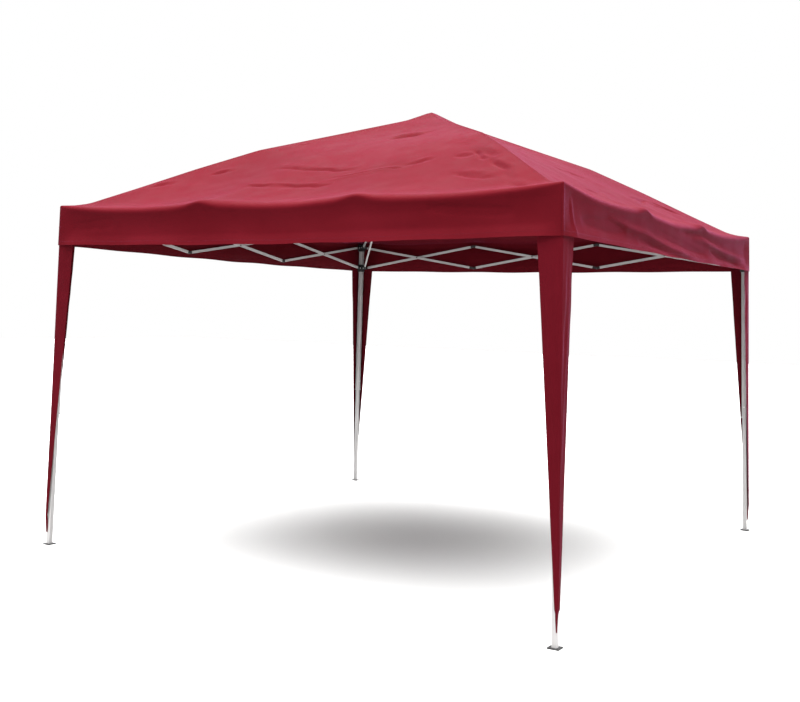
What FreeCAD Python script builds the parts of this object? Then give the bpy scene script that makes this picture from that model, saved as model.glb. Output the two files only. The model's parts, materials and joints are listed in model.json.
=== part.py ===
"""Pop-up gazebo, 3 m square, with a folding truss frame, a hipped canopy and tapered leg covers.

Row frame: millimetres, +Z up, origin on the ground under the peak.
The frame is four identical quarters, each turned 90 degrees about Z from the one before.
Quarter 0 stands at the front left corner (-X, -Y), and its side of the truss is the front side.
"""
import FreeCAD, Part
import math
import os

V = FreeCAD.Vector
UP = V(0, 0, 1)

# ---- overall sizes ----
canopy_width = 3000.0        # outside of the valance
leg_spacing = 2945.0         # between leg axes
hem_z = 1617.0               # bottom edge of the valance
corner_z = 1838.0            # top of the canopy at its corners
eave_z = 1814.0              # top of the canopy where it passes over the truss joints
peak_z = 2510.0              # top of the canopy

# ---- truss along each side: three scissor pairs ----
truss_top_z = 1800.0         # pivots on the corner bracket and along the top
truss_depth = 160.0          # from the top pivots down to the bottom pivots
bays = 3                     # scissor pairs on a side
pivot_offset = 35.0          # leg axis to the truss pivots
folded_spacing = 200.0       # between leg axes when folded

# ---- bars ----
bar_height = 16.0            # in the plane the bar swings in
bar_thick = 10.0
bar_wall = 0.8
layer_gap = 2.0              # between the two bars of a scissor pair
plug_length = 24.0           # pivot to the end of the steel tube
plug_spigot = 18.0           # how far a plug goes into the tube
pin_r = 2.5
run_clear = 0.1              # radial clearance of a pin in a bar that turns on it
head_r = 5.0
head_thick = 2.5
spacer_r = 7.0
round_share = 0.6            # part of a head's or button's height that is rounded off

# ---- roof frame ----
elbow_r = 1030.0             # distance of the rafter elbow from the peak axis
elbow_z = 2190.0
hub_pivot_r = 45.0
hub_pivot_z = 2442.0
rafter_offset = 55.0         # leg axis to the rafter and strut pivots, along the diagonal
rafter_gap = 1.0             # between the inner and outer rafters' layers
plate_gap = 0.5              # between the outer rafter and the slider's strut plate
folded_elbow_r = 58.0

# ---- legs ----
outer_leg = 27.0             # square tube
outer_leg_wall = 1.0
outer_leg_bottom_z = 700.0
leg_gap = 1.5                # between the two tubes, taken up by the plastic guides
inner_leg = outer_leg - 2 * outer_leg_wall - 2 * leg_gap
inner_leg_wall = 1.0
leg_overlap = 245.0          # length of inner leg inside the outer leg
leg_travel = 680.0           # how far the inner leg slides up
foot_side = 50.0
foot_thick = 4.0
foot_corner_r = 3.0
peg_hole_r = 4.5
peg_hole_offset = 17.0       # from the leg axis, in X and in Y
guide_height = 28.0          # plastic guides at the ends of the telescope
guide_clear = 0.2
guide_collar_height = 8.0    # the part of the lower guide below the outer leg
guide_collar_out = 3.0       # how far it stands out from the outer leg
leg_cap_thick = 4.0          # top flange of the inner leg's guide
button_r = 4.0
button_hole_clear = 0.2
button_above_end = 60.0      # outer leg's bottom to the button
button_stands_out = 5.0
button_travel = 6.0
button_shank = 2.0           # inside the inner leg, behind the button
leaf_thick = 1.0
leaf_below = 45.0            # leaf spring, down from the button's axis
leaf_above = 6.0

# ---- plastic bracket and slider ----
bracket_side = 44.0
bracket_height = 52.0
bracket_above_pivot = 24.0
bracket_cap_thick = 8.0      # closed top over the outer leg
bracket_corner_r = 4.0
slider_side = 40.0
slider_height = 56.0
slider_clear = 0.3
slider_corner_r = 3.5
lug_thick = 4.2
lug_clear = 0.3              # between a lug's cheek and the bar
lug_end_r = 9.0
lug_root_in = 1.0            # how far a truss lug starts inside the body's face
diagonal_root = 16.0         # leg axis to where a diagonal lug starts, inside the body

# ---- hub ----
hub_r = 28.0
hub_height = 36.0
lug_root_r = 12.0            # where the hub's lugs start, inside its body
post_r = 10.0
cap_r = 44.0
cap_tip_r = 8.0
cap_rim = 6.0
cap_gap = 2.5                # from the cap to the inside of the canopy

# ---- fabric ----
roof_thick = 0.8
valance_thick = 0.8
crown_r = 100.0              # where the roof turns up to the peak cap
crown_z = 2462.0
ridge_above_elbow = 24.0
knee_r = 1975.0              # where the hip turns flatter, near the corner bracket
knee_z = 1852.0
cover_top_z = 1640.0
cover_bottom_z = 62.0
cover_top_width = 118.0
cover_bottom_width = 12.0
cover_thick = 0.8
cover_top_gap = 0.5          # cover to the inside of the valance
cover_leg_gap = 1.5          # cover to the leg at the cover's lower end
cover_slider_gap = 1.2       # cover to the slider where it comes to rest when folded
cover_waist_z = 780.0        # below the folded slider
cover_waist_width = 62.0
past_hem = 50.0              # the canopy's hollow is cut out this far past its hem

# ---- worked out from the sizes above ----
half = leg_spacing / 2
bay = (leg_spacing - 2 * pivot_offset) / bays
bar_length = math.hypot(bay, truss_depth)
truss_bottom_z = truss_top_z - truss_depth
bar_angle = math.atan2(truss_depth, bay)
folded_bar_angle = math.acos((folded_spacing - 2 * pivot_offset) / (bays * bar_length))
layer = (bar_thick + layer_gap) / 2
rafter_layer = bar_thick + rafter_gap
strut_layer = bar_thick + plate_gap + lug_thick + lug_clear
eye_r = bar_height / 2

leg_r = half * math.sqrt(2)
rafter_foot_r = leg_r - rafter_offset
outer_rafter = math.hypot(rafter_foot_r - elbow_r, elbow_z - truss_top_z)
outer_rafter_angle = math.atan2(elbow_z - truss_top_z, rafter_foot_r - elbow_r)
inner_rafter = math.hypot(elbow_r - hub_pivot_r, hub_pivot_z - elbow_z)
inner_rafter_angle = math.atan2(hub_pivot_z - elbow_z, elbow_r - hub_pivot_r)

folded_leg_r = folded_spacing / math.sqrt(2)
folded_inner_angle = math.acos((folded_elbow_r - hub_pivot_r) / inner_rafter)
folded_outer_angle = math.acos((folded_leg_r - rafter_offset - folded_elbow_r) / outer_rafter)
folded_slider_drop = bar_length * math.sin(folded_bar_angle)
# where the strut meets the outer rafter, so that it has one length both open and folded
strut_on_rafter = (folded_slider_drop ** 2 - truss_depth ** 2) / (
    2 * (truss_depth * math.sin(outer_rafter_angle) + folded_slider_drop * math.sin(folded_outer_angle)))
strut_rise = truss_depth + strut_on_rafter * math.sin(outer_rafter_angle)
strut_reach = strut_on_rafter * math.cos(outer_rafter_angle)
strut_length = math.hypot(strut_rise, strut_reach)
strut_angle = math.atan2(strut_rise, strut_reach)
folded_strut_rise = folded_slider_drop - strut_on_rafter * math.sin(folded_outer_angle)
folded_strut_angle = math.atan2(folded_strut_rise, strut_on_rafter * math.cos(folded_outer_angle))

CORNERS = ["front_left", "front_right", "back_right", "back_left"]
SIDES = ["front", "right", "back", "left"]


# ---- placing ----
def moved(shape, x=0.0, y=0.0, z=0.0):
    out = shape.copy()
    out.translate(V(x, y, z))
    return out


def turned(shape, degrees, centre=V(0, 0, 0), axis=UP):
    out = shape.copy()
    out.rotate(centre, axis, degrees)
    return out


def quarter(shape, k):
    """A shape of quarter 0, turned to quarter k."""
    return turned(shape, 90 * k)


def other_end(shape):
    """A shape at the start of the front side, turned half round to the side's far end."""
    return turned(shape, 180, V(0, -half, 0))


def own_far_end(shape):
    """The front side's start turned to the left side's far end, which is at corner 0 too."""
    return turned(other_end(shape), -90)


def on_front_side(shape, along, layer_y, z, angle):
    """A bar built along +X, put on the front side and tilted down by an angle in radians."""
    out = turned(shape, math.degrees(angle), axis=V(0, 1, 0))
    return moved(out, -half + along, -half + layer_y, z)


def on_diagonal(shape, r, layer_t, z, angle=0.0):
    """A shape built along +X, put on corner 0's diagonal at radius r, pointing outwards and down.

    layer_t is its place across the diagonal, along Z x outward."""
    out = turned(shape, math.degrees(angle), axis=V(0, 1, 0))
    out = moved(out, r, layer_t, z)
    return turned(out, 225)


# ---- simple solids ----
def box(x0, x1, y0, y1, z0, z1):
    return Part.makeBox(x1 - x0, y1 - y0, z1 - z0, V(x0, y0, z0))


def square(side, z0, z1):
    return box(-side / 2, side / 2, -side / 2, side / 2, z0, z1)


def upright_edges(solid):
    return [e for e in solid.Edges if abs(e.tangentAt(e.FirstParameter).z) > 1 - 1e-6]


def rod(r, y0, y1, x=0.0, z=0.0):
    """A cylinder along Y."""
    return Part.makeCylinder(r, y1 - y0, V(x, y0, z), V(0, 1, 0))


def domed_head(y, side, x=0.0, z=0.0):
    """A rivet or bolt head on the face at y, standing out towards side (+1 or -1)."""
    low, high = sorted((y, y + side * head_thick))
    head = rod(head_r, low, high, x, z)
    rim = [e for e in head.Edges if abs(e.CenterOfMass.y - (y + side * head_thick)) < 1e-6
           and e.Curve.TypeId == "Part::GeomCircle"]
    return head.makeFillet(head_thick * round_share, rim)


def plug(at_far_end, length, hole):
    """The plastic end of a bar: an eye round the pivot and a spigot that fills the tube's mouth."""
    eye = rod(eye_r, -bar_thick / 2, bar_thick / 2)
    neck = box(0, plug_length, -bar_thick / 2, bar_thick / 2, -eye_r, eye_r)
    bore = bar_thick / 2 - bar_wall
    spigot = box(plug_length, plug_length + plug_spigot, -bore, bore,
                 -eye_r + bar_wall, eye_r - bar_wall)
    out = eye.fuse([neck, spigot]).removeSplitter()
    out = out.cut(rod(hole, -bar_thick, bar_thick))
    if at_far_end:
        out = moved(turned(out, 180), length)
    return out


def bar_tube(length, holes):
    """Rectangular steel tube between the plugs, with (distance along, radius) cross holes."""
    out = box(plug_length, length - plug_length, -bar_thick / 2, bar_thick / 2, -eye_r, eye_r)
    out = out.cut(box(plug_length, length - plug_length,
                      -bar_thick / 2 + bar_wall, bar_thick / 2 - bar_wall,
                      -eye_r + bar_wall, eye_r - bar_wall))
    for along, r in holes:
        out = out.cut(rod(r, -bar_thick, bar_thick, along))
    return out


def bar(length, near_hole, far_hole, holes=()):
    return [bar_tube(length, holes), plug(False, length, near_hole), plug(True, length, far_hole)]


def half_bolt(along, side):
    """A bolt end held in its own bar alone: the shank stops flush, and the head is on one side."""
    shank = rod(pin_r, -bar_thick / 2, bar_thick / 2, along)
    return shank.fuse(domed_head(side * bar_thick / 2, side, along)).removeSplitter()


def cross_bolt(along, towards, reach):
    """A bolt through this bar and the bar beside it: towards is +1 or -1 along Y."""
    own, far = -towards * bar_thick / 2, towards * reach
    low, high = sorted((own, far))
    shank = rod(pin_r, low, high, along)
    return shank.fuse([domed_head(own, -towards, along), domed_head(far, towards, along)]).removeSplitter()


RUN = pin_r + run_clear
pair_reach = bar_thick / 2 + layer_gap + bar_thick + run_clear   # bar centre to past the next bar
rafter_reach = bar_thick / 2 + rafter_gap + bar_thick + run_clear


# ---- truss bars of the front side, start half; the far half is the same turned half round ----
def bar_from_bracket():
    """Falls from the corner bracket to the first bottom joint."""
    middle = bar_length / 2
    solids = bar(bar_length, RUN, pin_r, [(middle, pin_r)])
    solids += [cross_bolt(middle, +1, pair_reach), half_bolt(bar_length, -1)]
    return [on_front_side(s, pivot_offset, -layer, truss_top_z, bar_angle) for s in solids]


def bar_from_slider():
    """Rises from the slider to the first top joint, and carries that joint's bolt."""
    middle = bar_length / 2
    solids = bar(bar_length, RUN, pin_r, [(middle, RUN)])
    solids += [cross_bolt(bar_length, -1, pair_reach)]
    return [on_front_side(s, pivot_offset, layer, truss_bottom_z, -bar_angle) for s in solids]


def bar_of_middle():
    """Falls from the first top joint to the second bottom joint."""
    middle = bar_length / 2
    solids = bar(bar_length, RUN, pin_r, [(middle, pin_r)])
    solids += [half_bolt(middle, -1), half_bolt(bar_length, -1)]
    return [on_front_side(s, pivot_offset + bay, -layer, truss_top_z, bar_angle) for s in solids]


# ---- lugs, bracket and slider ----
def cheek(root, reach, y0, y1):
    plate = box(root, reach, y0, y1, -lug_end_r, lug_end_r)
    return plate.fuse(rod(lug_end_r, y0, y1, reach)).removeSplitter()


def lug(root, reach, centre_y, both=True):
    """Cheeks along +X from root to past the pivot at reach, beside a bar centred on centre_y,
    with the pin that holds the bar. both=False leaves the high cheek out."""
    low = centre_y - bar_thick / 2 - lug_clear
    high = centre_y + bar_thick / 2 + lug_clear
    cheeks = [cheek(root, reach, low - lug_thick, low)]
    pin_end = high
    if both:
        cheeks.append(cheek(root, reach, high, high + lug_thick))
        pin_end = high + lug_thick
    pin = rod(pin_r, low - lug_thick, pin_end, reach)
    pin = pin.fuse([domed_head(low - lug_thick, -1, reach), domed_head(pin_end, 1, reach)])
    return cheeks, pin.removeSplitter()


def place_lugs(z, body_half, truss_layer, across, both):
    """The three lugs of a bracket or slider at corner 0, as (cheeks, pins)."""
    truss_cheeks, truss_pin = lug(body_half - lug_root_in, pivot_offset, truss_layer)
    truss = [moved(s, -half, -half, z) for s in truss_cheeks + [truss_pin]]
    # the other side's bar is in the other layer, and turning half round puts it there
    far = [own_far_end(s) for s in truss]
    diagonal_cheeks, diagonal_pin = lug(diagonal_root, rafter_offset, across, both)
    diagonal = [moved(turned(s, 45), -half, -half, z) for s in diagonal_cheeks + [diagonal_pin]]
    groups = [truss, far, diagonal]
    return [s for g in groups for s in g[:-1]], [g[-1] for g in groups]


def drill(solid, pins):
    for p in pins:
        solid = solid.cut(p)
    return solid


def corner_bracket():
    """Plastic cap on the leg's top, with lugs for two truss bars and the outer rafter."""
    low = truss_top_z + bracket_above_pivot - bracket_height
    high = truss_top_z + bracket_above_pivot
    body = square(bracket_side, low, high)
    body = body.makeFillet(bracket_corner_r, upright_edges(body))
    body = body.cut(square(outer_leg, low, high - bracket_cap_thick))
    body = moved(body, -half, -half)
    cheeks, pins = place_lugs(truss_top_z, bracket_side / 2, -layer, 0.0, True)
    body = body.fuse(cheeks).removeSplitter()
    return [drill(body, pins)] + pins, high - bracket_cap_thick


def slider():
    """Plastic collar that rides on the outer leg, with lugs for two truss bars and the strut."""
    low, high = truss_bottom_z - slider_height / 2, truss_bottom_z + slider_height / 2
    body = square(slider_side, low, high)
    body = body.makeFillet(slider_corner_r, upright_edges(body))
    body = body.cut(square(outer_leg + 2 * slider_clear, low, high))
    body = moved(body, -half, -half)
    cheeks, pins = place_lugs(truss_bottom_z, slider_side / 2, layer, strut_layer, False)
    body = body.fuse(cheeks).removeSplitter()
    # a seat that hugs the leg must stay open where the lugs were joined on
    body = body.cut(moved(square(outer_leg + 2 * slider_clear, low, high), -half, -half))
    return [drill(body, pins)] + pins


# ---- roof frame of corner 0 ----
def inner_rafter_parts():
    """From the hub out and down to the elbow, and carries the elbow's bolt."""
    solids = bar(inner_rafter, RUN, pin_r)
    solids += [cross_bolt(inner_rafter, -1, rafter_reach)]
    return [on_diagonal(s, hub_pivot_r, rafter_layer, hub_pivot_z, inner_rafter_angle) for s in solids]


def outer_rafter_parts():
    """From the elbow out and down to the corner bracket."""
    strut_at = outer_rafter - strut_on_rafter
    solids = bar(outer_rafter, RUN, RUN, [(strut_at, pin_r)])
    solids += [half_bolt(strut_at, +1)]
    return [on_diagonal(s, elbow_r, 0.0, elbow_z, outer_rafter_angle) for s in solids]


def strut_parts():
    """From the slider in and up to the outer rafter."""
    solids = bar(strut_length, pin_r, RUN)
    spacer = rod(spacer_r, bar_thick / 2, bar_thick / 2 + lug_thick)
    solids += [half_bolt(0.0, -1), spacer]
    top_r, top_z = rafter_foot_r - strut_reach, truss_bottom_z + strut_rise
    return [on_diagonal(s, top_r, -strut_layer, top_z, strut_angle) for s in solids]


# ---- legs of corner 0 ----
def tube(side, wall, z0, z1):
    return square(side, z0, z1).cut(square(side - 2 * wall, z0, z1))


def outer_leg_parts():
    bracket, tube_top = corner_bracket()
    steel = tube(outer_leg, outer_leg_wall, outer_leg_bottom_z, tube_top)
    hole_r = button_r + button_hole_clear
    for z in (button_z, button_z + leg_travel):
        steel = steel.cut(rod(hole_r, 0, outer_leg, 0, z))
    bore = outer_leg - 2 * outer_leg_wall
    guide_low = outer_leg_bottom_z - guide_collar_height
    guide = square(outer_leg + 2 * guide_collar_out, guide_low, outer_leg_bottom_z)
    guide = guide.fuse(square(bore, outer_leg_bottom_z, outer_leg_bottom_z + guide_height))
    guide = guide.cut(square(inner_leg + 2 * guide_clear, guide_low,
                             outer_leg_bottom_z + guide_height)).removeSplitter()
    return [moved(steel, -half, -half), moved(guide, -half, -half)] + bracket


def inner_leg_parts():
    """The inner tube, the foot plate it is welded to, and the guide in its top."""
    top = outer_leg_bottom_z + leg_overlap
    steel = tube(inner_leg, inner_leg_wall, foot_thick, top)
    steel = steel.cut(rod(button_r + button_hole_clear, 0, inner_leg, 0, button_z))
    plate = square(foot_side, 0, foot_thick)
    plate = plate.makeFillet(foot_corner_r, upright_edges(plate))
    plate = plate.cut(Part.makeCylinder(peg_hole_r, foot_thick, V(-peg_hole_offset, -peg_hole_offset, 0)))
    bore = outer_leg - 2 * outer_leg_wall - 2 * guide_clear
    cap = square(bore, top, top + leg_cap_thick)
    cap = cap.fuse(square(inner_leg - 2 * inner_leg_wall, top - guide_height, top)).removeSplitter()
    return [moved(steel, -half, -half), moved(plate, -half, -half), moved(cap, -half, -half)]


def snap_button_parts():
    """A domed button on a leaf spring inside the inner leg, out through both tubes."""
    out_y = outer_leg / 2 + button_stands_out
    in_y = inner_leg / 2 - inner_leg_wall - button_shank
    button = rod(button_r, in_y, out_y, 0, button_z)
    rim = [e for e in button.Edges if abs(e.CenterOfMass.y - out_y) < 1e-6
           and e.Curve.TypeId == "Part::GeomCircle"]
    button = button.makeFillet(button_r * round_share, rim)
    leaf = box(-button_r, button_r, in_y - leaf_thick, in_y, button_z - leaf_below, button_z + leaf_above)
    return [moved(button.fuse(leaf).removeSplitter(), -half, -half)]


button_z = outer_leg_bottom_z + button_above_end


# ---- hub ----
def hub_parts():
    low, high = hub_pivot_z - hub_height / 2, hub_pivot_z + hub_height / 2
    body = Part.makeCylinder(hub_r, hub_height, V(0, 0, low))
    pins = []
    for k in range(4):
        cheeks, pin = lug(lug_root_r, hub_pivot_r, rafter_layer)
        at = [moved(turned(s, 225 + 90 * k), 0, 0, hub_pivot_z) for s in cheeks + [pin]]
        body = body.fuse(at[:2])
        pins.append(at[2])
    body = body.removeSplitter()
    body = drill(body, pins)
    post = Part.makeCylinder(post_r, cap_shoulder_z - cap_rim - high, V(0, 0, high))
    return body.fuse(post).removeSplitter(), pins


def peak_cap():
    """Conical plastic cap on the hub's post, which holds the canopy's peak up."""
    rim = Part.makeCylinder(cap_r, cap_rim, V(0, 0, cap_shoulder_z - cap_rim))
    cone = Part.makeCone(cap_r, cap_tip_r, (cap_r - cap_tip_r) * peak_slope, V(0, 0, cap_shoulder_z))
    return rim.fuse(cone).removeSplitter()


peak_slope = (peak_z - crown_z) / (crown_r / math.sqrt(2))
cap_shoulder_z = peak_z - roof_thick - cap_gap - cap_r * peak_slope


# ---- canopy ----
def roof_points(k, shrink, drop):
    """Quarter k's roof points: the corner, then up its hip the knee, the elbow and the crown,
    then two eave points along the side. shrink moves the walls in, drop moves it all down."""
    edge = canopy_width / 2 - shrink
    first, second = -half + pivot_offset + bay, -half + pivot_offset + 2 * bay
    hip = [(knee_r, knee_z), (elbow_r, elbow_z + ridge_above_elbow), (crown_r, crown_z)]
    raw = [V(-edge, -edge, corner_z - drop)]
    raw += [V(-r / math.sqrt(2), -r / math.sqrt(2), z - drop) for r, z in hip]
    raw += [V(first, -edge, eave_z - drop), V(second, -edge, eave_z - drop)]
    turn = FreeCAD.Rotation(UP, 90 * k)
    return [turn.multVec(p) for p in raw]


def face(*points):
    return Part.Face(Part.makePolygon(list(points) + [points[0]]))


def tent(shrink, drop, bottom):
    """A closed solid from the roof surface down to a flat bottom."""
    edge = canopy_width / 2 - shrink
    peak = V(0, 0, peak_z - drop)
    corners = [V(-edge, -edge, bottom), V(edge, -edge, bottom),
               V(edge, edge, bottom), V(-edge, edge, bottom)]
    faces = [face(*corners)]
    for k in range(4):
        corner, knee, ridge, crown, first, second = roof_points(k, shrink, drop)
        corner2, knee2, ridge2, crown2 = roof_points((k + 1) % 4, shrink, drop)[:4]
        faces += [face(corner, first, knee), face(knee, first, ridge), face(first, second, ridge2, ridge),
                  face(second, corner2, knee2), face(second, knee2, ridge2),
                  face(ridge, ridge2, crown2, crown), face(crown, crown2, peak),
                  face(corners[k], corners[(k + 1) % 4], corner2, second, first, corner)]
    return Part.makeSolid(Part.makeShell(faces))


def canopy_parts():
    """The sewn cover: four panels, each a roof slope with its valance, meeting at the hips."""
    cover = tent(0.0, 0.0, hem_z).cut(tent(valance_thick, roof_thick, hem_z - past_hem))
    reach = canopy_width
    wedge = Part.Face(Part.makePolygon([V(0, 0, 0), V(-reach, -reach, 0), V(reach, -reach, 0), V(0, 0, 0)]))
    wedge = wedge.extrude(V(0, 0, 2 * peak_z))
    panel = cover.common(wedge).Solids
    return [quarter(s, k) for k in range(4) for s in panel]


def cover_section(z, offset, width):
    """An L-shaped section at height z: offset is from the leg axis to its inner faces."""
    o, t = offset, cover_thick
    outline = [V(-o - t, -o - t, z), V(-o - t + width, -o - t, z), V(-o - t + width, -o, z),
               V(-o, -o, z), V(-o, -o - t + width, z), V(-o - t, -o - t + width, z)]
    return Part.makePolygon(outline + [outline[0]])


def leg_cover():
    """Tapered fabric sleeve round the leg's two outer faces."""
    top_offset = canopy_width / 2 - valance_thick - cover_top_gap - cover_thick - half
    waist_offset = slider_side / 2 + cover_slider_gap
    bottom_offset = outer_leg / 2 + cover_leg_gap
    loft = Part.makeLoft([cover_section(cover_top_z, top_offset, cover_top_width),
                          cover_section(cover_waist_z, waist_offset, cover_waist_width),
                          cover_section(cover_bottom_z, bottom_offset, cover_bottom_width)], True, True)
    return moved(loft, -half, -half)


# ---- write the parts ----
def write(name, solids):
    for s in solids:
        if not s.isValid() or s.ShapeType not in ("Solid", "Compound") or s.Volume <= 0:
            print("check", name, s.ShapeType, s.isValid(), s.Volume)
    shape = Part.makeCompound([x for s in solids for x in s.Solids])
    shape.exportStep(os.path.join("parts", name + ".step"))


def main():
    os.makedirs("parts", exist_ok=True)
    write("canopy", canopy_parts())
    hub, pins = hub_parts()
    write("peak_hub", [hub])
    write("hub_hinge_pins", pins)
    write("peak_cap", [peak_cap()])
    by_corner = {
        "inner_rafter": inner_rafter_parts(),
        "outer_rafter": outer_rafter_parts(),
        "rafter_strut": strut_parts(),
        "outer_leg": outer_leg_parts(),
        "inner_leg": inner_leg_parts(),
        "slider": slider(),
        "snap_button": snap_button_parts(),
        "leg_cover": [leg_cover()],
    }
    for part, solids in by_corner.items():
        for k, corner in enumerate(CORNERS):
            write(f"{part}_{corner}", [quarter(s, k) for s in solids])
    falling = [bar_from_bracket(), bar_of_middle(), [other_end(s) for s in bar_from_slider()]]
    rising = [bar_from_slider(), [other_end(s) for s in bar_of_middle()],
              [other_end(s) for s in bar_from_bracket()]]
    for k, side in enumerate(SIDES):
        for i in range(bays):
            write(f"{side}_bar_{i + 1}_falling", [quarter(s, k) for s in falling[i]])
            write(f"{side}_bar_{i + 1}_rising", [quarter(s, k) for s in rising[i]])


main()
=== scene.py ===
"""Looks for the pop-up gazebo: the sewn canopy, its peak patch, the leg covers and every material."""
import json
import math

import bpy
import numpy as np
from mathutils import Matrix, Vector


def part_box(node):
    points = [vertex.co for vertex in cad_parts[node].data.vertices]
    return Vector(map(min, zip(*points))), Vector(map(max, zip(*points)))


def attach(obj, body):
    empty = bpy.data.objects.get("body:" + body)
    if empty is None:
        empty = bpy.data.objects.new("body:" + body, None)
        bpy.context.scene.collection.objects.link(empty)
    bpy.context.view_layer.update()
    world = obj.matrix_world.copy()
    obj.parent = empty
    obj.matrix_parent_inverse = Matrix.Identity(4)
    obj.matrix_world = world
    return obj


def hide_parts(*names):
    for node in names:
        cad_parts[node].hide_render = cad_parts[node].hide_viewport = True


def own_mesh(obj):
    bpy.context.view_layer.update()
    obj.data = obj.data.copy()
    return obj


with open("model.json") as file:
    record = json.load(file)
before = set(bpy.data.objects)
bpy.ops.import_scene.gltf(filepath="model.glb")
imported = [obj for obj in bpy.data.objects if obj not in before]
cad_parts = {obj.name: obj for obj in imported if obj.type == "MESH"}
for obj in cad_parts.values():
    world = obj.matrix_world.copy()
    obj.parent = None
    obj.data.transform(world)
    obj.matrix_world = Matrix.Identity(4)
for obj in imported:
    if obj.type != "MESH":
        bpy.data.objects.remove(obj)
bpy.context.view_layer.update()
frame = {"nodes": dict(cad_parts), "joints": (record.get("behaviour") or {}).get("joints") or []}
scene = bpy.context.scene

CORNERS = ["front_left", "front_right", "back_right", "back_left"]
SIDES = ["front", "right", "back", "left"]

# ---- sizes, in metres, from the CAD ----
canopy_lo, canopy_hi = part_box("canopy")
EDGE = canopy_hi.x - 0.0006
HEM = canopy_lo.z
PEAK = canopy_hi.z - 0.001
joint_pos = {j["name"]: j.get("pos_m") for j in frame["joints"]}
HUB_PIVOT = joint_pos["roof_fold"]
ELBOW = joint_pos["elbow_front_left"]
ELBOW_R = math.hypot(ELBOW[0], ELBOW[1])
TOP_JOINT = joint_pos["front_bar_2_falling_hinge"]
JOINT_X = abs(TOP_JOINT[0])
JOINT_Z = TOP_JOINT[2]
leg_lo, leg_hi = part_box("inner_leg_front_right")
LEG = (leg_lo.x + leg_hi.x) / 2
CORNER_Z = JOINT_Z + 0.0385

# ---- noise ----
def smooth_noise(x, y, scale, seed):
    """Sum of sines in random directions, about -1 to 1."""
    r = np.random.default_rng(seed)
    out = np.zeros(np.broadcast(x, y).shape)
    for _ in range(7):
        a = r.uniform(0, 2 * math.pi)
        k = 2 * math.pi / (scale * r.uniform(0.7, 1.6))
        out += np.sin(k * (x * math.cos(a) + y * math.sin(a)) + r.uniform(0, 2 * math.pi))
    return out / 3.2


def crease(x, y, a, b, width, height):
    """A soft ridge (height > 0) or groove along the segment a-b, fading out at its ends."""
    a, b = np.array(a, float), np.array(b, float)
    d = b - a
    length = np.hypot(*d)
    t = ((x - a[0]) * d[0] + (y - a[1]) * d[1]) / length ** 2
    off = ((x - a[0]) * -d[1] + (y - a[1]) * d[0]) / length
    ends = np.clip(t * 4, 0, 1) * np.clip((1 - t) * 4, 0, 1)
    return height * ends ** 0.7 * np.exp(-(off / width) ** 2)


# ---- the hip line ----
HIP_R = np.array([0.0, 0.06, 0.155, 0.60, ELBOW_R, 1.385, 1.704, 1.965, 2.04, EDGE * math.sqrt(2)])
HIP_Z = np.array([PEAK, 2.484, 2.446, 2.327, 2.214, 2.083, 1.957, 1.857, 1.843, CORNER_Z])
fine_r = np.linspace(-0.3, 2.5, 2801)


def rounded(sigma):
    z = np.interp(np.abs(fine_r), HIP_R, HIP_Z)
    slope = (HIP_Z[-1] - HIP_Z[-3]) / (HIP_R[-1] - HIP_R[-3])
    z = np.where(fine_r > HIP_R[-1], HIP_Z[-1] + (fine_r - HIP_R[-1]) * slope, z)
    n = int(sigma * 3000)
    k = np.exp(-0.5 * (np.arange(-n, n + 1) / 1000 / sigma) ** 2)
    return np.convolve(np.pad(z, n, mode="edge"), k / k.sum(), mode="valid")


hip_sharp, hip_soft = rounded(0.012), rounded(0.13)


def eave_height(x):
    """Top of the cloth along a side: held up at the corners and over the two top joints."""
    ax = np.abs(x)
    over = JOINT_Z + 0.020
    chord = np.where(ax > JOINT_X, over + (CORNER_Z - over) * (ax - JOINT_X) / (EDGE - JOINT_X), over)
    s = np.where(ax > JOINT_X, (ax - JOINT_X) / (EDGE - JOINT_X), (x / JOINT_X + 1) / 2)
    return chord - 0.020 * np.sin(math.pi * np.clip(s, 0, 1)) ** 1.3


CREASES = {
    0: [((-0.42, 1.20), (0.14, 1.20), 0.013, -0.010), ((0.03, 1.14), (0.55, 1.03), 0.014, 0.011),
        ((-0.42, 0.95), (0.18, 1.04), 0.014, -0.008), ((0.02, 0.50), (0.24, 0.49), 0.020, -0.014),
        ((0.40, 1.05), (0.60, 0.97), 0.012, -0.008), ((-0.82, 1.02), (-0.70, 0.97), 0.010, -0.006),
        ((-1.10, 1.18), (-0.98, 1.14), 0.010, -0.006), ((0.78, 0.93), (0.98, 1.06), 0.016, -0.014),
        ((1.00, 1.12), (1.22, 1.36), 0.014, -0.009), ((0.80, 1.18), (1.02, 1.24), 0.012, -0.008),
        ((0.62, 0.86), (0.74, 0.82), 0.010, -0.007)],
    1: [((-1.06, 1.26), (-0.62, 1.20), 0.012, -0.009), ((-0.50, 1.30), (-0.15, 1.16), 0.014, 0.010),
        ((0.30, 1.20), (0.70, 1.06), 0.014, -0.012), ((0.72, 1.10), (1.02, 1.20), 0.012, -0.010),
        ((-0.15, 0.80), (0.25, 0.92), 0.015, -0.008)],
    2: [((-0.60, 1.05), (-0.05, 1.12), 0.014, -0.010), ((0.20, 0.85), (0.62, 0.98), 0.014, 0.009),
        ((0.75, 1.15), (1.05, 1.25), 0.012, -0.009), ((-0.25, 0.45), (0.05, 0.52), 0.018, -0.010),
        ((-1.05, 1.20), (-0.85, 1.10), 0.010, -0.008)],
    3: [((-0.70, 0.98), (-0.20, 1.08), 0.013, -0.010), ((0.10, 1.15), (0.55, 1.10), 0.014, 0.009),
        ((0.60, 0.85), (0.85, 1.00), 0.013, -0.010), ((-0.10, 0.60), (0.20, 0.55), 0.018, -0.009),
        ((0.95, 1.15), (1.20, 1.33), 0.012, -0.008)],
}
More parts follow.
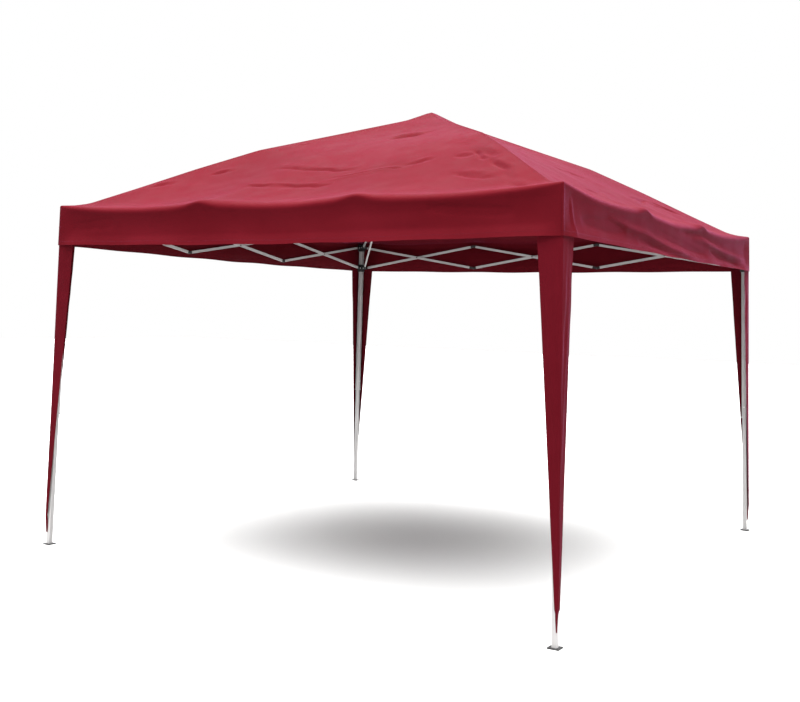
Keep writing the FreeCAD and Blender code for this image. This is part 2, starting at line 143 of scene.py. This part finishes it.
# thin sharp folds: x, distance out, x, distance out, width, depth
SHARP = {
    0: [(-0.436, 1.205, -0.255, 1.19, 0.008, 0.0034), (-0.255, 1.19, 0.13, 1.20, 0.008, 0.0030),
        (0.048, 1.13, 0.53, 1.035, 0.009, 0.0042), (-0.417, 0.953, 0.172, 1.04, 0.009, 0.0030),
        (0.036, 0.498, 0.22, 0.49, 0.020, 0.0075), (0.16, 0.50, 0.30, 0.44, 0.010, 0.0030),
        (0.43, 1.04, 0.57, 0.98, 0.009, 0.0034), (-0.82, 1.02, -0.74, 0.98, 0.010, 0.0040),
        (-1.12, 1.19, -1.03, 1.15, 0.010, 0.0036), (-0.56, 0.62, -0.48, 0.60, 0.008, 0.0030),
        (0.80, 0.95, 0.93, 1.09, 0.009, 0.0050), (0.70, 0.98, 0.82, 1.00, 0.009, 0.0036),
        (0.96, 1.08, 1.13, 1.24, 0.010, 0.0050),
        (0.84, 1.20, 1.08, 1.28, 0.011, 0.0040), (1.18, 1.36, 1.32, 1.44, 0.012, 0.0040)],
    1: [(-1.06, 1.29, -0.78, 1.24, 0.009, 0.0036), (-0.57, 1.21, -0.46, 1.25, 0.009, 0.0036),
        (0.42, 1.09, 0.77, 1.07, 0.009, 0.0040), (0.77, 1.07, 1.03, 1.20, 0.009, 0.0036),
        (-0.20, 0.82, 0.18, 0.90, 0.010, 0.0034), (-0.30, 0.55, -0.10, 0.60, 0.010, 0.0030)],
    2: [(-0.62, 1.06, -0.10, 1.12, 0.009, 0.0036), (0.22, 0.86, 0.60, 0.97, 0.009, 0.0034),
        (-0.20, 0.47, 0.03, 0.52, 0.016, 0.0060), (0.78, 1.16, 1.02, 1.24, 0.009, 0.0034)],
    3: [(-0.68, 0.99, -0.22, 1.07, 0.009, 0.0036), (0.12, 1.15, 0.52, 1.11, 0.009, 0.0034),
        (0.62, 0.86, 0.84, 0.99, 0.009, 0.0034), (-0.08, 0.60, 0.18, 0.56, 0.012, 0.0040)],
}
VALANCE_FOLDS = {
    0: [((-1.42, 0.60), (-1.05, 0.35), 0.04, -0.006), ((0.85, 0.30), (1.28, 0.48), 0.022, -0.010),
        ((0.30, 0.62), (0.95, 0.55), 0.05, 0.004)],
    1: [((-1.41, 0.25), (-1.39, 0.98), 0.014, 0.008), ((-1.30, 0.62), (-0.75, 0.58), 0.034, -0.012),
        ((-0.98, 0.38), (0.35, 0.92), 0.026, 0.010), ((-0.60, 0.76), (0.20, 1.02), 0.024, -0.010),
        ((-0.30, 0.40), (0.55, 0.80), 0.022, -0.009), ((0.30, 0.35), (1.42, 0.72), 0.028, 0.011),
        ((0.60, 0.62), (1.35, 0.95), 0.024, -0.012), ((0.05, 0.20), (0.90, 0.35), 0.022, -0.007)],
    2: [((-1.2, 0.25), (-0.8, 0.60), 0.030, -0.008), ((0.2, 0.30), (0.7, 0.60), 0.034, -0.008)],
    3: [((-0.9, 0.30), (-0.4, 0.65), 0.032, -0.009), ((0.5, 0.25), (1.0, 0.60), 0.032, -0.008),
        ((1.05, 0.7), (1.35, 0.3), 0.026, 0.007)],
}

HEM_DIP = [0.016, 0.006, 0.010, 0.010]     # how much lower each side's hem hangs in its middle
BUMP_HEIGHT = [0.0030, 0.0015, 0.0030, 0.0030]     # of each side's broad waves
GORES = 8                    # to a side
STEPS = 28                   # columns in a gore
ROOF_ROWS, ROLL_ROWS, DROP_ROWS = 112, 12, 22

# rows of the roof stand closest where its sharp folds are
row_at = np.linspace(0, 1, 1401)
row_density = (1 + 2.6 * np.exp(-(((row_at - 0.755) / 0.115) ** 4))
               + 1.2 * np.exp(-(((row_at - 0.34) / 0.04) ** 2)))
row_sum = np.concatenate([[0], np.cumsum((row_density[1:] + row_density[:-1]) / 2)])
ROOF_T = np.interp(np.linspace(0, row_sum[-1], ROOF_ROWS), row_sum, row_at)


def side_grid(k):
    """The cloth of side k in the side's own frame: x along it, y = -distance out, z up.
    Returns points, and each one's distance along the side, above the hem and from the hip."""
    u = np.linspace(-1, 1, GORES * STEPS + 1)[None, :]
    centre = 1 - u ** 2
    near_corner = np.abs(u) ** 10
    # how far the cloth starts to turn over before the edge, and how far down it has turned
    eave = eave_height(u * EDGE)
    at_joint = np.exp(-((np.abs(u) * EDGE - JOINT_X) / 0.085) ** 2)
    roll = 0.010 + 0.050 * centre ** 0.6 * (1 - 0.62 * at_joint)

    def roof(d):
        """Height of the roof at distance d out, for each column."""
        r = d * math.sqrt(2)
        sharp, soft = np.interp(r, fine_r, hip_sharp), np.interp(r, fine_r, hip_soft)
        mix = np.clip(1 - np.abs(u) ** 3.0, 0, 1) * np.clip((r - 0.09) / 0.40, 0, 1)
        z = sharp * (1 - mix) + soft * mix
        share = np.clip(d / EDGE, 0, 1)
        z = z - 0.034 * np.sin(math.pi * share) * centre * np.clip(d / 0.3, 0, 1)
        # the last stretch follows the eave line instead of the level corner
        lift = (eave - CORNER_Z) * np.clip((share - 0.35) / 0.65, 0, 1) ** 1.7
        lift = lift + 0.009 * at_joint * np.clip((d - 1.28) / 0.20, 0, 1) ** 1.5
        x, y = u * d, d + 0 * u
        soft_away = np.clip((1 - np.abs(u)) * d / 0.06, 0, 1) * np.clip((d - 0.12) / 0.15, 0, 1)
        bumps = (BUMP_HEIGHT[k] * smooth_noise(x, y, 0.60, 20 + k)
                 + 0.0005 * smooth_noise(x, y * 1.6, 0.20, 40 + k))
        for a, b, w, h in CREASES[k]:
            bumps = bumps + 0.5 * crease(x, y, a, b, w * 1.4, h)
            bumps = bumps - 0.25 * crease(x, y + 0.028, a, b, w * 2.2, h)
        bend = 0.010 * smooth_noise(x, y, 0.13, 30 + k)
        for x0, d0, x1, d1, w, h in SHARP[k]:
            bumps = bumps - 1.5 * crease(x, y + bend, (x0, d0), (x1, d1), w * 1.15, h)
            bumps = bumps + 0.6 * crease(x, y + bend + 2.2 * w, (x0, d0), (x1, d1), w * 1.5, h)
        return z + lift + bumps * soft_away

    t = ROOF_T[:, None]
    d = t * (EDGE - roll)
    rows_d = d * np.ones_like(u)
    rows_z = roof(rows_d)
    at_edge = roof(np.ones_like(u) * EDGE)
    drop = roll * (0.62 + 0.25 * np.abs(u))
    # a quadratic curve from the roof, round the edge, to the valance
    s = np.linspace(0, 1, ROLL_ROWS + 1)[1:, None]
    d0, z0 = rows_d[-1:], rows_z[-1:]
    d1, z1 = EDGE * np.ones_like(u), at_edge
    z2 = at_edge - drop
    roll_d = (1 - s) ** 2 * d0 + 2 * s * (1 - s) * d1 + s ** 2 * d1
    roll_z = (1 - s) ** 2 * z0 + 2 * s * (1 - s) * z1 + s ** 2 * z2
    v = np.linspace(0, 1, DROP_ROWS + 1)[1:, None]
    hem = HEM + 0.0005 - HEM_DIP[k] * centre ** 1.5 + 0.004 * centre * np.sin(u * 9.0 + k) ** 2
    drop_z = z2 + (hem - z2) * v
    drop_d = EDGE * np.ones_like(drop_z)
    all_d = np.vstack([rows_d, roll_d, drop_d])
    all_z = np.vstack([rows_z, roll_z, drop_z])
    # the valance hangs in and out a little between corner and corner
    x = u * EDGE
    fall = np.clip((at_edge - all_z) / (at_edge - hem), 0, 1)
    held = np.clip((1 - np.abs(u)) * EDGE / 0.10, 0, 1)
    hollow = -0.0105 * np.sin(math.pi * np.clip(fall * 1.12, 0, 1)) ** 1.1
    ripple = 0.0035 * smooth_noise(x + 0 * fall, fall * 0.35, 0.42, 60 + k) * fall
    flare = 0.0130 * np.clip((fall - 0.74) / 0.26, 0, 1) ** 1.3
    folds = 0
    for a, b, w, h in VALANCE_FOLDS[k]:
        ax, bx = (a[0], a[1] * 0.22), (b[0], b[1] * 0.22)
        folds = folds + crease(x + 0 * fall, fall * 0.22, ax, bx, w * 0.8, h)
    room = np.clip(fall * 5, 0, 1)
    out = (hollow + ripple + flare + folds) * held * room
    out = np.clip(out, -0.0125, 0.016)
    all_d = all_d + np.where(fall > 0.0, out, 0)
    points = np.stack([np.where(fall > 0.02, u * EDGE, u * all_d), -all_d, all_z], -1)
    # keep the corner edge the same for both sides
    points[:, 0, 0], points[:, -1, 0] = -all_d[:, 0], all_d[:, -1]
    along = points[..., 0]
    hip = (1 - np.abs(u)) * np.minimum(all_d, EDGE)
    return points, along, all_z - hem, hip


def normals_of(points):
    du = np.gradient(points, axis=1)
    dv = np.gradient(points, axis=0)
    dv[0] = dv[1]
    du[0] = du[1]
    n = np.cross(dv, du)
    n /= np.linalg.norm(n, axis=-1, keepdims=True) + 1e-12
    return n


def turn(points, k):
    a = k * math.pi / 2
    c, s = round(math.cos(a)), round(math.sin(a))
    out = points.copy()
    out[..., 0] = c * points[..., 0] - s * points[..., 1]
    out[..., 1] = s * points[..., 0] + c * points[..., 1]
    return out


def grid_object(name, points, normals, uv, attributes, material):
    """A mesh from a grid of points. A first row that is all one point becomes a fan."""
    rows, cols = points.shape[:2]
    fan = np.allclose(points[0], points[0, :1])
    if fan:
        verts = np.vstack([points[0, :1], points[1:].reshape(-1, 3)])
        vert_n = np.vstack([normals[1].mean(0, keepdims=True), normals[1:].reshape(-1, 3)])
        index = np.arange((rows - 1) * cols).reshape(rows - 1, cols) + 1
        faces = [(0, int(index[0, j + 1]), int(index[0, j])) for j in range(cols - 1)]
        flat = lambda a: np.concatenate([a[0, cols // 2:cols // 2 + 1], a[1:].reshape(-1)])
    else:
        verts, vert_n = points.reshape(-1, 3), normals.reshape(-1, 3)
        index = np.arange(rows * cols).reshape(rows, cols)
        faces = []
        flat = lambda a: a.reshape(-1)
    a, b, c, d = index[:-1, :-1], index[:-1, 1:], index[1:, 1:], index[1:, :-1]
    faces += np.stack([a, b, c, d], -1).reshape(-1, 4).tolist()
    mesh = bpy.data.meshes.new(name)
    mesh.from_pydata(verts.tolist(), [], faces)
    mesh.update()
    loops = np.zeros(len(mesh.loops), np.int32)
    mesh.loops.foreach_get("vertex_index", loops)
    layer = mesh.uv_layers.new(name="UVMap")
    u, v = flat(uv[0]), flat(uv[1])
    layer.data.foreach_set("uv", np.stack([u[loops], v[loops]], -1).astype(np.float32).ravel())
    for key, values in attributes.items():
        mesh.attributes.new(key, "FLOAT", "POINT").data.foreach_set("value", flat(values).astype(np.float32))
    mesh.shade_smooth()
    facing = np.array([p.normal[:] for p in mesh.polygons[:1]])[0]
    if facing @ vert_n[faces[0][0]] < 0:
        mesh.flip_normals()
    mesh.normals_split_custom_set_from_vertices(vert_n.tolist())
    obj = bpy.data.objects.new(name, mesh)
    scene.collection.objects.link(obj)
    mesh.materials.append(material)
    return obj


# ---- materials ----
WEAVE = 0.0016               # pitch of the cloth's threads
STITCH = 0.0055              # length of one stitch and its gap
THREAD = 0.0006              # half width of a line of stitches


def nodes_of(name):
    m = bpy.data.materials.new(name)
    m.use_nodes = True
    nt = m.node_tree
    nt.nodes.clear()
    out = nt.nodes.new("ShaderNodeOutputMaterial")
    bsdf = nt.nodes.new("ShaderNodeBsdfPrincipled")
    nt.links.new(bsdf.outputs[0], out.inputs[0])
    return m, nt, bsdf


def add(nt, kind, **values):
    n = nt.nodes.new(kind)
    for key, value in values.items():
        if key == "attribute_name":
            setattr(n, key, value)
        else:
            n.inputs[key].default_value = value
    return n


def math_node(nt, op, a, b=None, clamp=False):
    n = nt.nodes.new("ShaderNodeMath")
    n.operation = op
    n.use_clamp = clamp
    for i, x in enumerate((a, b)):
        if x is None:
            continue
        if isinstance(x, (int, float)):
            n.inputs[i].default_value = x
        else:
            nt.links.new(x, n.inputs[i])
    return n.outputs[0]


def mix_colour(nt, factor, a, b, blend="MIX"):
    n = nt.nodes.new("ShaderNodeMix")
    n.data_type = "RGBA"
    n.blend_type = blend
    for socket, x in ((n.inputs[0], factor), (n.inputs[6], a), (n.inputs[7], b)):
        if isinstance(x, (int, float, tuple)):
            socket.default_value = x
        else:
            nt.links.new(x, socket)
    return n.outputs[2]


def ramp_value(nt, value, low, high, to_low, to_high):
    n = nt.nodes.new("ShaderNodeMapRange")
    n.interpolation_type = "SMOOTHSTEP"
    nt.links.new(value, n.inputs[0])
    for i, x in enumerate((low, high, to_low, to_high)):
        n.inputs[i + 1].default_value = x
    return n.outputs[0]


def noise(nt, vector, scale, detail=3.0, roughness=0.55):
    n = add(nt, "ShaderNodeTexNoise", Scale=scale, Detail=detail, Roughness=roughness)
    nt.links.new(vector, n.inputs["Vector"])
    return n.outputs["Fac"]


def band(nt, value, centre, half_width, soft):
    """1 within half_width of centre, falling to 0 over soft."""
    off = math_node(nt, "ABSOLUTE", math_node(nt, "SUBTRACT", value, centre))
    return ramp_value(nt, off, half_width, half_width + soft, 1.0, 0.0)


def scaled(colour, r, g, b):
    return (colour[0] * r, colour[1] * g, colour[2] * b, 1)


def fabric(name, base, dark, sewn):
    """Woven polyester. sewn adds the hip and hem seams, which are placed by attributes."""
    m, nt, bsdf = nodes_of(name)
    coords = nt.nodes.new("ShaderNodeTexCoord").outputs["Object"]
    uv = nt.nodes.new("ShaderNodeUVMap")
    uv.uv_map = "UVMap"
    split = nt.nodes.new("ShaderNodeSeparateXYZ")
    nt.links.new(uv.outputs[0], split.inputs[0])
    along, above_hem = split.outputs[0], split.outputs[1]
    broad = noise(nt, coords, 1.6, 4.0)
    patchy = noise(nt, coords, 9.0, 3.0)
    thread = noise(nt, coords, 900.0, 1.0)
    colour = mix_colour(nt, ramp_value(nt, broad, 0.32, 0.70, 0.0, 1.0), dark, base)
    paler, darker = ramp_value(nt, patchy, 0.3, 0.7, 0.0, 0.18), ramp_value(nt, thread, 0.35, 0.65, 0.0, 0.16)
    colour = mix_colour(nt, paler, colour, scaled(base, 1.12, 1.3, 1.25))
    colour = mix_colour(nt, darker, colour, scaled(dark, 0.7, 0.7, 0.7))
    # weave: two sets of fine threads at right angles
    warp = math_node(nt, "SINE", math_node(nt, "MULTIPLY", along, 2 * math.pi / WEAVE))
    weft = math_node(nt, "SINE", math_node(nt, "MULTIPLY", above_hem, 2 * math.pi / WEAVE))
    weave = math_node(nt, "MULTIPLY", warp, weft)
    height = math_node(nt, "MULTIPLY", weave, 0.00006)
    crumple = noise(nt, coords, 28.0, 5.0, 0.6)
    height = math_node(nt, "ADD", height, math_node(nt, "MULTIPLY", crumple, 0.00022))
    stretch = noise(nt, coords, 6.0, 2.0, 0.5)
    height = math_node(nt, "ADD", height, math_node(nt, "MULTIPLY", stretch, 0.0006))
    if sewn:
        hip = add(nt, "ShaderNodeAttribute", attribute_name="hip").outputs["Fac"]
        hem_fold = ramp_value(nt, above_hem, 0.021, 0.024, 1.0, 0.0)
        hem_stitch = band(nt, above_hem, 0.0205, THREAD, THREAD)
        hip_fold = ramp_value(nt, hip, 0.010, 0.013, 1.0, 0.0)
        hip_stitch = band(nt, hip, 0.0085, THREAD, THREAD)
        wave = math_node(nt, "SINE", math_node(nt, "MULTIPLY", along, 2 * math.pi / STITCH))
        gaps = ramp_value(nt, wave, -0.5, -0.2, 0.0, 1.0)
        stitch = math_node(nt, "MULTIPLY", math_node(nt, "MAXIMUM", hem_stitch, hip_stitch), gaps)
        layer = math_node(nt, "MAXIMUM", hem_fold, hip_fold)
        height = math_node(nt, "ADD", height, math_node(nt, "MULTIPLY", layer, 0.0007))
        height = math_node(nt, "SUBTRACT", height, math_node(nt, "MULTIPLY", stitch, 0.0008))
        colour = mix_colour(nt, math_node(nt, "MULTIPLY", layer, 0.22), colour, scaled(base, 1.05, 1.2, 1.1))
        colour = mix_colour(nt, math_node(nt, "MULTIPLY", stitch, 0.5), colour, scaled(dark, 0.45, 0.5, 0.5))
    nt.links.new(colour, bsdf.inputs["Base Color"])
    rough = math_node(nt, "ADD", ramp_value(nt, patchy, 0.25, 0.75, 0.50, 0.64),
                      math_node(nt, "MULTIPLY", thread, 0.06))
    nt.links.new(rough, bsdf.inputs["Roughness"])
    bump = add(nt, "ShaderNodeBump", Strength=0.8, Distance=1.0)
    nt.links.new(height, bump.inputs["Height"])
    nt.links.new(bump.outputs[0], bsdf.inputs["Normal"])
    bsdf.inputs["Specular IOR Level"].default_value = 0.016
    bsdf.inputs["IOR"].default_value = 1.3
    bsdf.inputs["Sheen Weight"].default_value = 0.12
    bsdf.inputs["Sheen Roughness"].default_value = 0.25
    bsdf.inputs["Sheen Tint"].default_value = (1.0, 0.34, 0.72, 1)
    return m


def coated(name, base, dirt, rough_low, rough_high, peel, peel_scale, metallic=0.0, specular=0.5):
    m, nt, bsdf = nodes_of(name)
    coords = nt.nodes.new("ShaderNodeTexCoord").outputs["Object"]
    broad = noise(nt, coords, 5.0, 4.0)
    fine = noise(nt, coords, 160.0, 3.0)
    grain = noise(nt, coords, peel_scale, 2.0)
    colour = mix_colour(nt, ramp_value(nt, broad, 0.40, 0.75, 0.0, 0.55), base, dirt)
    specks = ramp_value(nt, fine, 0.60, 0.80, 0.0, 0.35)
    colour = mix_colour(nt, specks, colour, scaled(dirt, 0.82, 0.82, 0.82))
    nt.links.new(colour, bsdf.inputs["Base Color"])
    nt.links.new(ramp_value(nt, fine, 0.3, 0.7, rough_low, rough_high), bsdf.inputs["Roughness"])
    bump = add(nt, "ShaderNodeBump", Strength=0.6, Distance=1.0)
    nt.links.new(math_node(nt, "MULTIPLY", grain, peel), bump.inputs["Height"])
    nt.links.new(bump.outputs[0], bsdf.inputs["Normal"])
    bsdf.inputs["Metallic"].default_value = metallic
    bsdf.inputs["Specular IOR Level"].default_value = specular
    return m


canopy_cloth = fabric("canopy_cloth", (0.051, 0.0025, 0.0048, 1), (0.044, 0.0019, 0.0037, 1), True)
cover_cloth = fabric("cover_cloth", (0.051, 0.0025, 0.0052, 1), (0.043, 0.0019, 0.0039, 1), False)
# painted shade: the white paint gets a grey base and a grey dirt colour, standing in for the shade that falls
# on the frame under the canopy
white_paint_painted_shade = coated("white_paint_painted_shade", (0.262, 0.255, 0.253, 1), (0.21, 0.202, 0.197, 1),
                     0.34, 0.50, 0.00035, 420.0)
black_nylon = coated("black_nylon", (0.013, 0.013, 0.0135, 1), (0.024, 0.0235, 0.023, 1),
                     0.55, 0.72, 0.0003, 700.0, specular=0.22)
zinc = coated("zinc", (0.56, 0.56, 0.55, 1), (0.40, 0.40, 0.39, 1), 0.30, 0.45, 0.00015, 900.0, 1.0)

# ---- materials on the CAD nodes: each polygon by where it is ----
HEAD_R = 0.0053              # a little over the bolt heads' radius
PLUG = 0.046                 # eye, neck and spigot of a bar's plastic end
FOOT_TOP = 0.0045
pivots = [(np.array(j["pos_m"]), np.array(j["axis"])) for j in frame["joints"] if j["type"] == "hinge"]
for a in range(4):
    # every crossing of the truss, also those that no joint of the frame names
    axis = np.array([0.0, 1.0, 0.0]) if a % 2 == 0 else np.array([1.0, 0.0, 0.0])
    for i in range(-3, 4):
        for z in (JOINT_Z, JOINT_Z - 0.08, JOINT_Z - 0.16):
            reach = -LEG if a in (0, 3) else LEG
            spot = (i * JOINT_X, reach, z) if a % 2 == 0 else (reach, i * JOINT_X, z)
            pivots.append((np.array(spot), axis))


def is_bolt(co, tris):
    """Polygons that lie wholly within a bolt head's radius of some pivot's axis."""
    found = np.zeros(len(tris), bool)
    for at, axis in pivots:
        off = co - at
        off = off - np.outer(off @ axis, axis)
        near = (np.linalg.norm(off, axis=1) < HEAD_R) & (np.linalg.norm(co - at, axis=1) < 0.05)
        found |= np.array([near[t].all() for t in tris]) if near.any() else False
    return found


def paint(node):
    obj = frame["nodes"][node]
    mesh = obj.data
    mesh.materials.clear()
    for m in (white_paint_painted_shade, black_nylon, zinc):
        mesh.materials.append(m)
    co = np.zeros(len(mesh.vertices) * 3)
    mesh.vertices.foreach_get("co", co)
    co = co.reshape(-1, 3)
    polys = [list(p.vertices) for p in mesh.polygons]
    low = np.array([co[p].min(0) for p in polys])
    high = np.array([co[p].max(0) for p in polys])
    index = np.zeros(len(polys), np.int32)
    if node in ("peak_hub", "peak_cap") or node.startswith("slider"):
        index[:] = 1
    elif node == "hub_hinge_pins" or node.startswith("snap_button"):
        index[:] = 2
    elif node.startswith("outer_leg"):
        small = high[:, 2] - low[:, 2] < 0.1
        index[small & (low[:, 2] > JOINT_Z - 0.03)] = 1
    elif node.startswith("inner_leg"):
        index[high[:, 2] < FOOT_TOP] = 1
        index[low[:, 2] > 0.9] = 1
    else:
        middle = (co.min(0) + co.max(0)) / 2
        _, _, vt = np.linalg.svd(co - co.mean(0), full_matrices=False)
        along = (co - middle) @ vt[0]
        reach = (along.max() - along.min()) / 2 - PLUG
        for i, p in enumerate(polys):
            if (along[p] > reach).all() or (along[p] < -reach).all():
                index[i] = 1
    if index.max() < 2:
        index[is_bolt(co, polys)] = 1 if "_bar_" in node else 2
    mesh.polygons.foreach_set("material_index", index)


for node in frame["nodes"]:
    if node != "canopy" and not node.startswith("leg_cover"):
        paint(node)


# ---- canopy ----
for k, side in enumerate(SIDES):
    points, along, above, hip = side_grid(k)
    normals = normals_of(points)
    points, normals = turn(points, k), turn(normals, k)
    for g in range(GORES):
        cut = slice(g * STEPS, (g + 1) * STEPS + 1)
        name = f"canopy_{side}_gore_{g + 1}"
        obj = grid_object(name, points[:, cut], normals[:, cut], (along[:, cut], above[:, cut]),
                          {"hip": hip[:, cut]}, canopy_cloth)
        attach(obj, "hub")
        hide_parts("canopy")
        middle = (-1 + (2 * g + 1) / GORES) * EDGE
        out = turn(np.array([middle, -EDGE, 0.0]), k)
        out /= np.linalg.norm(out)
        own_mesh(obj)

# ---- peak patch, sewn under the peak ----
PATCH_R = 0.205
n_ring, n_turn = 16, 96
rr = np.linspace(0, 1, n_ring)[:, None] * PATCH_R * np.ones((1, n_turn + 1))
aa = np.linspace(0, 2 * math.pi, n_turn + 1)[None, :] * np.ones((n_ring, 1))
px, py = rr * np.cos(aa), rr * np.sin(aa)
out_d = np.maximum(np.abs(px), np.abs(py)) * math.sqrt(2)
pz = np.interp(out_d, fine_r, hip_soft) * 0.5 + np.interp(out_d, fine_r, hip_sharp) * 0.5 - 0.0045
pz -= 0.030 * np.sin(math.pi * out_d / 2.12)
patch_points = np.stack([px, py, pz], -1)
patch = grid_object("canopy_peak_patch", patch_points[:, ::-1], normals_of(patch_points[:, ::-1]),
                    (px, py + 1.0), {"hip": px * 0 + 1.0}, canopy_cloth)
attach(patch, "hub")
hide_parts("canopy")
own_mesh(patch)

# ---- leg covers ----
cover_lo, cover_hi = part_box("leg_cover_front_left")
COVER_TOP, COVER_BOTTOM = cover_hi.z, cover_lo.z
TOP_WIDTH = cover_hi.x - cover_lo.x
SLIDER_OUT = -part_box("slider_front_left")[0].x - LEG + 0.0007
SLIDER_LOW = 0.15            # the folded slider stops above this part of the cover


def cover_grid(k):
    """Both faces of the sleeve as one grid: columns run from one free edge, round the fold, to the other."""
    z = np.linspace(COVER_TOP - 0.001, COVER_BOTTOM + 0.001, 90)[:, None]
    share = (COVER_TOP - z) / (COVER_TOP - COVER_BOTTOM)
    width = TOP_WIDTH - 0.002 - (TOP_WIDTH - 0.014) * share
    top_out = -cover_lo.x - LEG - 0.0012
    out = np.interp(z, [COVER_BOTTOM, SLIDER_LOW, 0.78, COVER_TOP], [0.0160, 0.0218, 0.0224, top_out])
    half_cols = 22
    s = np.concatenate([np.linspace(1, 0, half_cols + 1), -np.linspace(0, 1, half_cols + 1)[1:]])[None, :]
    reach = np.abs(s) * width
    ripple = (0.0016 * smooth_noise(reach * 3, z * 0.9, 0.16, 80 + k)
              + 0.0012 * smooth_noise(s * 0.05 + 0 * z, z, 0.30, 90 + k))
    ripple = ripple * np.clip(np.abs(s) * 3, 0, 1) * np.clip(share * 8, 0, 1)
    curl = 0.0065 * np.abs(s) ** 2.2 * np.clip(share * 1.4, 0, 1)
    # the slider passes between the leg and the upper part of the cover
    inward = curl + np.clip(ripple, -0.0022, 0.0022)
    inward = np.minimum(inward, np.where(z > SLIDER_LOW, out - 0.0008 - SLIDER_OUT, inward))
    depth = out - inward - 0.0008
    fold = np.exp(-(reach / 0.004) ** 2) * 0.0012
    first = s > 0
    x = np.where(first, -depth, -out + reach)
    y = np.where(first, -out + reach, -depth)
    points = np.stack([x + fold - LEG, y + fold - LEG, z + 0 * s], -1)
    return points, s * width, z - COVER_BOTTOM + 0 * s


for k, corner in enumerate(CORNERS):
    points, along, above = cover_grid(k)
    points = turn(points, k)[:, ::-1]
    obj = grid_object(f"cover_{corner}", points, normals_of(points), (along[:, ::-1], above[:, ::-1]),
                      {"hip": above * 0 + 1}, cover_cloth)
    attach(obj, f"leg_{corner}")
    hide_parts(f"leg_cover_{corner}")
    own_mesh(obj)

# ---- floor, light and camera ----
def plain(name, colour, roughness):
    m, nt, bsdf = nodes_of(name)
    bsdf.inputs["Base Color"].default_value = colour
    bsdf.inputs["Roughness"].default_value = roughness
    return m


bpy.ops.mesh.primitive_plane_add(size=60, location=(0, 0, -0.0005))
floor = bpy.context.object
floor.name = "floor"
floor.data.materials.append(plain("floor_paper", (0.32, 0.32, 0.319, 1), 0.9))

world = bpy.data.worlds.new("studio")
scene.world = world
world.use_nodes = True
wt = world.node_tree
background = next(n for n in wt.nodes if n.type == "BACKGROUND")
direction = wt.nodes.new("ShaderNodeTexCoord").outputs["Generated"]
split = wt.nodes.new("ShaderNodeSeparateXYZ")
wt.links.new(direction, split.inputs[0])
lift = ramp_value(wt, split.outputs[2], 0.52, 0.98, 1.0, 19.0)
wt.links.new(lift, background.inputs["Strength"])
background.inputs["Color"].default_value = (1.0, 1.0, 1.0, 1)


def area_light(name, location, target, size, energy, colour=(1, 1, 1)):
    data = bpy.data.lights.new(name, "AREA")
    data.shape = "SQUARE"
    data.size = size
    data.energy = energy
    data.color = colour
    obj = bpy.data.objects.new(name, data)
    scene.collection.objects.link(obj)
    obj.location = location
    obj.rotation_euler = (Vector(target) - Vector(location)).to_track_quat("-Z", "Y").to_euler()
    return obj


area_light("key", (1.2, -1.8, 8.5), (0, 0, 1.8), 5.0, 560)

scene.view_settings.view_transform = "Standard"
scene.view_settings.look = "None"
scene.view_settings.exposure = 0.0
scene.view_settings.gamma = 1.0

camera_data = bpy.data.cameras.new("camera")
camera = bpy.data.objects.new("camera", camera_data)
scene.collection.objects.link(camera)
scene.camera = camera
eye = Vector((3.18112, -5.44606, 1.28408))
yaw, pitch, roll = 2.14047454, 0.0889410856, 0.0263150931
focal, centre_x, centre_y = 1057.18964, 386.178795, 220.0
forward = Vector((math.cos(pitch) * math.cos(yaw), math.cos(pitch) * math.sin(yaw), math.sin(pitch)))
right = Vector((math.sin(yaw), -math.cos(yaw), 0))
up = right.cross(forward)
right2 = math.cos(roll) * right + math.sin(roll) * up
up2 = -math.sin(roll) * right + math.cos(roll) * up
matrix = Matrix((right2, up2, -forward)).transposed().to_4x4()
matrix.translation = eye
camera.matrix_world = matrix
camera_data.sensor_width = 36.0
camera_data.lens = focal * 36.0 / 800.0
camera_data.shift_x = (400.0 - centre_x) / 800.0
camera_data.shift_y = -(351.0 - centre_y) / 800.0
camera_data.clip_start, camera_data.clip_end = 0.05, 200.0
